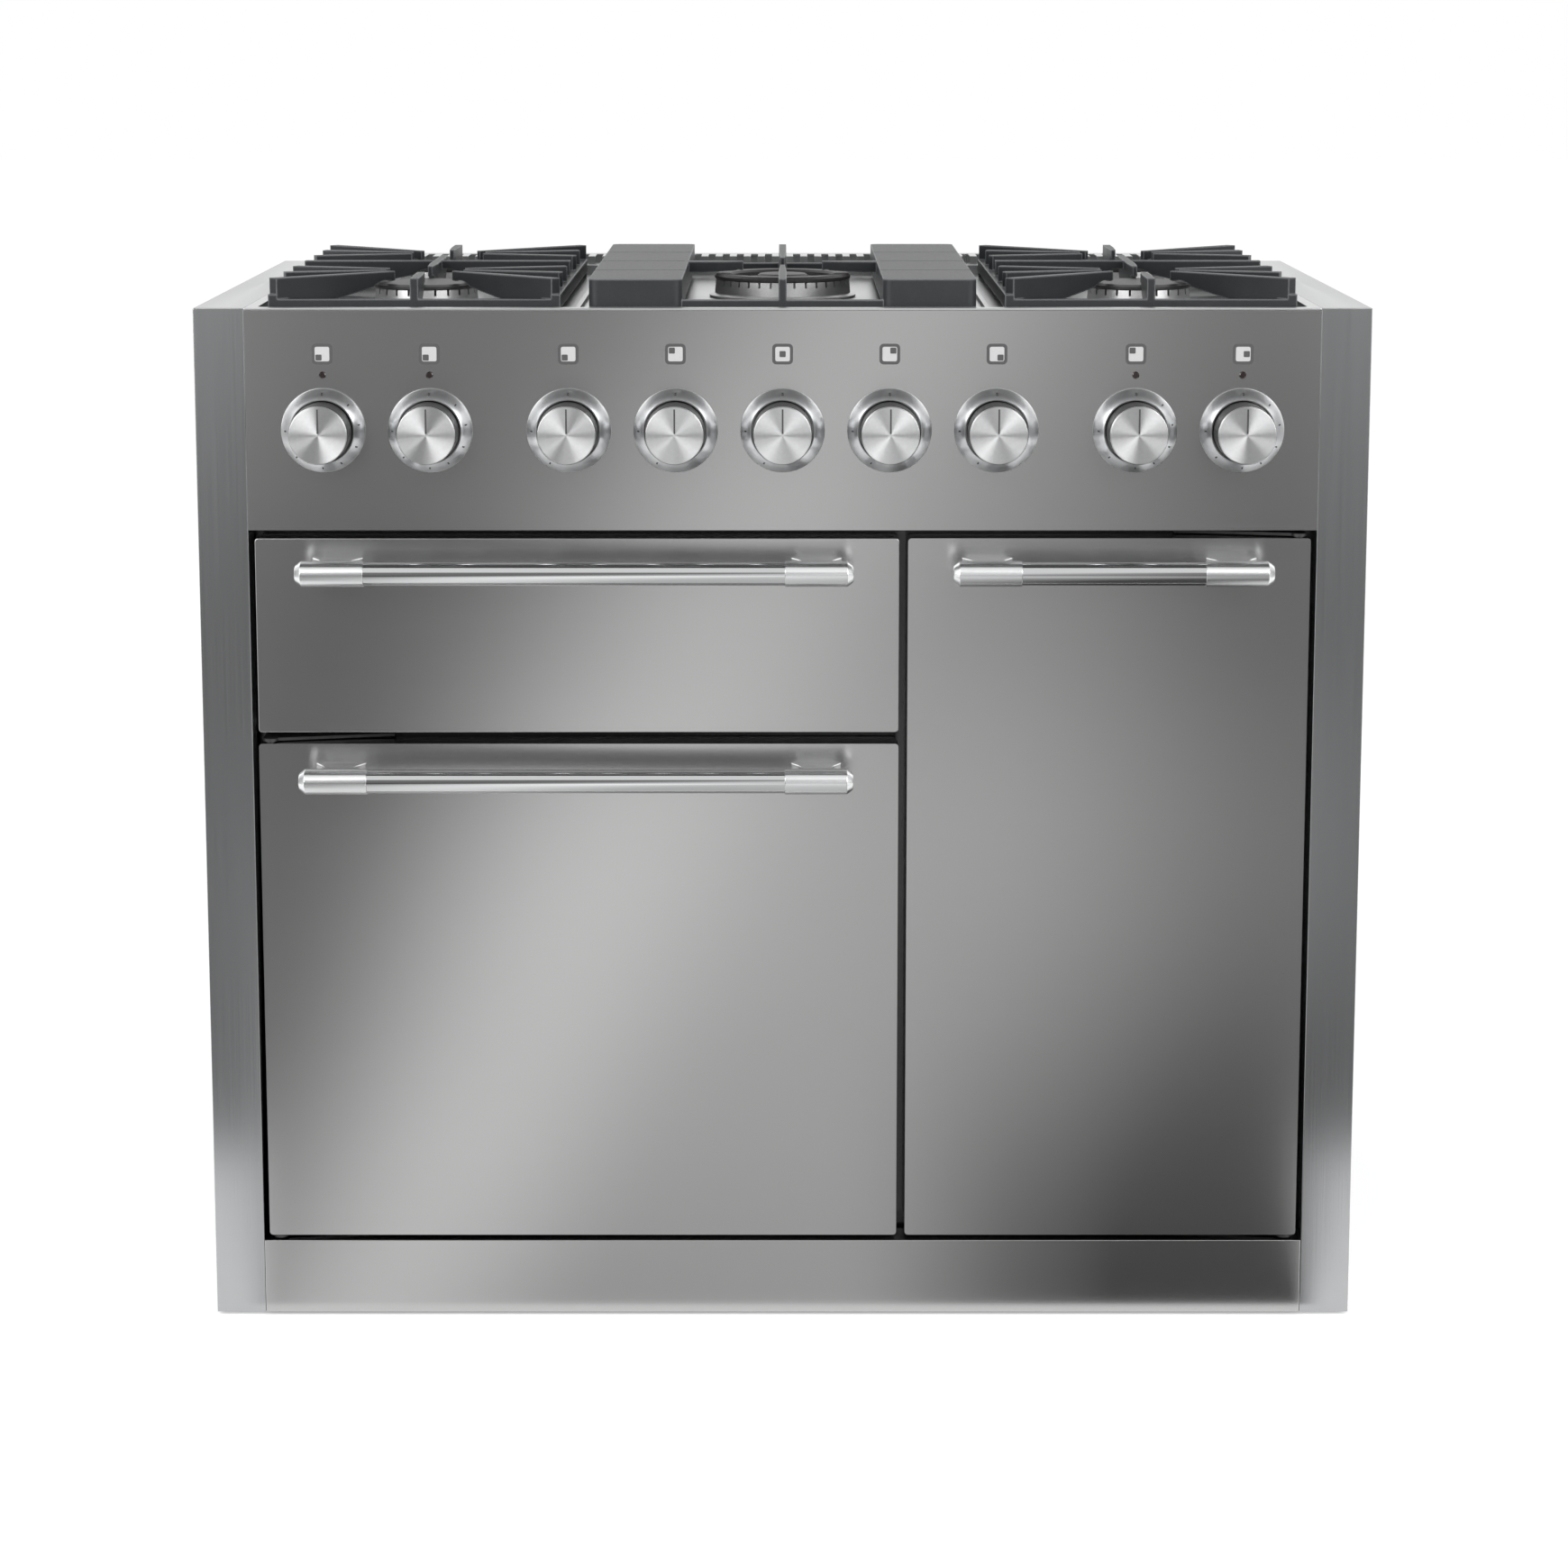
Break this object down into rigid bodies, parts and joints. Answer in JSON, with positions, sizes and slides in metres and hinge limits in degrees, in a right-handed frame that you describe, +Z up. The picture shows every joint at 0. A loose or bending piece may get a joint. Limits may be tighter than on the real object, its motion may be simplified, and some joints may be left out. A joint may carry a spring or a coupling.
{
  "type": "range cooker",
  "caption": "Free-standing stainless range cooker with gas hob, cast-iron pan supports, glide-out grill drawer and side-hinged oven doors of unequal width.",
  "frame": {"origin": "on the floor under the middle of the cooker's bounding box, handles included", "axes": "+Z up, the fronts face -Y, +X to the right of a person who faces the cooker"},
  "size_m": [1, 0.656, 0.913],
  "materials": {
    "brushed_steel": "horizontally brushed stainless steel",
    "side_steel": "satin stainless sheet",
    "hob_steel": "bright pressed stainless steel",
    "plain_sheet": "zinc coated sheet",
    "black_enamel": "black vitreous enamel",
    "handle_steel": "polished bar with satin sleeves",
    "chrome": "polished chrome",
    "spun_aluminium": "spun aluminium",
    "cast_aluminium": "cast aluminium",
    "cap_enamel": "matt black enamel",
    "cast_iron": "matt enamelled cast iron",
    "brass": "turned brass",
    "wire": "plated steel wire",
    "runner_steel": "zinc plated rolled steel",
    "element": "oxidised heating element sheath",
    "fan_steel": "pressed aluminised steel",
    "motor": "grey painted motor body",
    "seal": "woven glass fibre seal",
    "switch": "moulded switch body",
    "lens": "dark neon lens",
    "foot": "black oxidised steel"
  },
  "bodies": {
    "cooker": {"side_panel_left": "side_steel", "side_panel_right": "side_steel", "back_panel": "plain_sheet", "base_tray": "plain_sheet", "plinth": "brushed_steel", "levelling_feet": "foot", "front_frame": "black_enamel", "control_fascia": "brushed_steel", "knob_bezels": "chrome", "indicator_lamps": "lens", "hob_tray": "hob_steel", "rear_vent": "hob_steel", "burner_bases": "cast_aluminium", "burner_caps": "cap_enamel", "gas_rail": "brass", "oven_switches": "switch", "left_oven_liner": "black_enamel", "right_oven_liner": "black_enamel", "grill_liner": "black_enamel", "shelf_racks": "wire", "left_oven_shelves": "wire", "right_oven_shelves": "wire", "fan_covers": "black_enamel", "fan_motors": "motor", "fan_elements": "element", "grill_element": "element", "door_seals": "seal", "hinge_brackets": "runner_steel", "grill_rails": "runner_steel"},
    "grill_drawer": {"grill_carriage": "runner_steel", "grill_front": "brushed_steel", "grill_pan": "black_enamel", "grill_trivet": "wire", "grill_handle": "handle_steel"},
    "grill_slides": {"grill_rail_slides": "runner_steel"},
    "left_door": {"left_door_panel": "brushed_steel", "left_door_liner": "black_enamel", "left_door_handle": "handle_steel"},
    "right_door": {"right_door_panel": "brushed_steel", "right_door_liner": "black_enamel", "right_door_handle": "handle_steel"},
    "left_fan_wheel": {"left_fan": "fan_steel"},
    "right_fan_wheel": {"right_fan": "fan_steel"},
    "left_grate": {"pan_support_left": "cast_iron"},
    "centre_grate": {"pan_support_centre": "cast_iron"},
    "right_grate": {"pan_support_right": "cast_iron"},
    "tap_3": {"tap_spindle_3": "brass"},
    "tap_4": {"tap_spindle_4": "brass"},
    "tap_5": {"tap_spindle_5": "brass"},
    "tap_6": {"tap_spindle_6": "brass"},
    "tap_7": {"tap_spindle_7": "brass"},
    "control_1": {"knob_1": "spun_aluminium"},
    "control_2": {"knob_2": "spun_aluminium"},
    "control_3": {"knob_3": "spun_aluminium"},
    "control_4": {"knob_4": "spun_aluminium"},
    "control_5": {"knob_5": "spun_aluminium"},
    "control_6": {"knob_6": "spun_aluminium"},
    "control_7": {"knob_7": "spun_aluminium"},
    "control_8": {"knob_8": "spun_aluminium"},
    "control_9": {"knob_9": "spun_aluminium"}
  },
  "joints": [
    {"name": "grill_drawer_slide", "type": "slide", "parent": "cooker", "child": "grill_drawer", "axis": [0, -1, 0], "range_m": [0, 0.3]},
    {"name": "grill_runner_slide", "type": "slide", "parent": "cooker", "child": "grill_slides", "axis": [0, -1, 0], "range_m": [0, 0.15]},
    {"name": "left_door_hinge", "type": "hinge", "parent": "cooker", "child": "left_door", "pos_m": [-0.443, -0.263, 0.2945], "axis": [0, 0, -1], "range_deg": [0, 100]},
    {"name": "right_door_hinge", "type": "hinge", "parent": "cooker", "child": "right_door", "pos_m": [0.443, -0.263, 0.384], "axis": [0, 0, 1], "range_deg": [0, 100]},
    {"name": "left_fan_spin", "type": "hinge", "parent": "cooker", "child": "left_fan_wheel", "pos_m": [-0.176, 0.15, 0.2945], "axis": [0, -1, 0], "continuous": true},
    {"name": "right_fan_spin", "type": "hinge", "parent": "cooker", "child": "right_fan_wheel", "pos_m": [0.27975, 0.15, 0.384], "axis": [0, -1, 0], "continuous": true},
    {"name": "left_grate_lift", "type": "slide", "parent": "cooker", "child": "left_grate", "axis": [0, 0, 1], "range_m": [0, 0.12]},
    {"name": "centre_grate_lift", "type": "slide", "parent": "cooker", "child": "centre_grate", "axis": [0, 0, 1], "range_m": [0, 0.12]},
    {"name": "right_grate_lift", "type": "slide", "parent": "cooker", "child": "right_grate", "axis": [0, 0, 1], "range_m": [0, 0.12]},
    {"name": "tap_3_push", "type": "slide", "parent": "cooker", "child": "tap_3", "axis": [0, 1, 0], "range_m": [0, 0.0035], "stiffness_N_per_m": 600, "springref_m": -0.004},
    {"name": "tap_4_push", "type": "slide", "parent": "cooker", "child": "tap_4", "axis": [0, 1, 0], "range_m": [0, 0.0035], "stiffness_N_per_m": 600, "springref_m": -0.004},
    {"name": "tap_5_push", "type": "slide", "parent": "cooker", "child": "tap_5", "axis": [0, 1, 0], "range_m": [0, 0.0035], "stiffness_N_per_m": 600, "springref_m": -0.004},
    {"name": "tap_6_push", "type": "slide", "parent": "cooker", "child": "tap_6", "axis": [0, 1, 0], "range_m": [0, 0.0035], "stiffness_N_per_m": 600, "springref_m": -0.004},
    {"name": "tap_7_push", "type": "slide", "parent": "cooker", "child": "tap_7", "axis": [0, 1, 0], "range_m": [0, 0.0035], "stiffness_N_per_m": 600, "springref_m": -0.004},
    {"name": "knob_1_turn", "type": "hinge", "parent": "cooker", "child": "control_1", "pos_m": [-0.391, -0.292, 0.787], "axis": [0, -1, 0], "range_deg": [-285, 0]},
    {"name": "knob_2_turn", "type": "hinge", "parent": "cooker", "child": "control_2", "pos_m": [-0.3, -0.292, 0.787], "axis": [0, -1, 0], "range_deg": [-285, 0]},
    {"name": "knob_3_turn", "type": "hinge", "parent": "tap_3", "child": "control_3", "pos_m": [-0.182, -0.292, 0.787], "axis": [0, -1, 0], "range_deg": [0, 210]},
    {"name": "knob_4_turn", "type": "hinge", "parent": "tap_4", "child": "control_4", "pos_m": [-0.091, -0.292, 0.787], "axis": [0, -1, 0], "range_deg": [0, 210]},
    {"name": "knob_5_turn", "type": "hinge", "parent": "tap_5", "child": "control_5", "pos_m": [0, -0.292, 0.787], "axis": [0, -1, 0], "range_deg": [0, 210]},
    {"name": "knob_6_turn", "type": "hinge", "parent": "tap_6", "child": "control_6", "pos_m": [0.091, -0.292, 0.787], "axis": [0, -1, 0], "range_deg": [0, 210]},
    {"name": "knob_7_turn", "type": "hinge", "parent": "tap_7", "child": "control_7", "pos_m": [0.182, -0.292, 0.787], "axis": [0, -1, 0], "range_deg": [0, 210]},
    {"name": "knob_8_turn", "type": "hinge", "parent": "cooker", "child": "control_8", "pos_m": [0.3, -0.292, 0.787], "axis": [0, -1, 0], "range_deg": [-285, 0]},
    {"name": "knob_9_turn", "type": "hinge", "parent": "cooker", "child": "control_9", "pos_m": [0.391, -0.292, 0.787], "axis": [0, -1, 0], "range_deg": [-285, 0]}
  ],
  "couplings": [
    {"joint": "grill_runner_slide", "follows": "grill_drawer_slide", "ratio": 0.5}
  ]
}
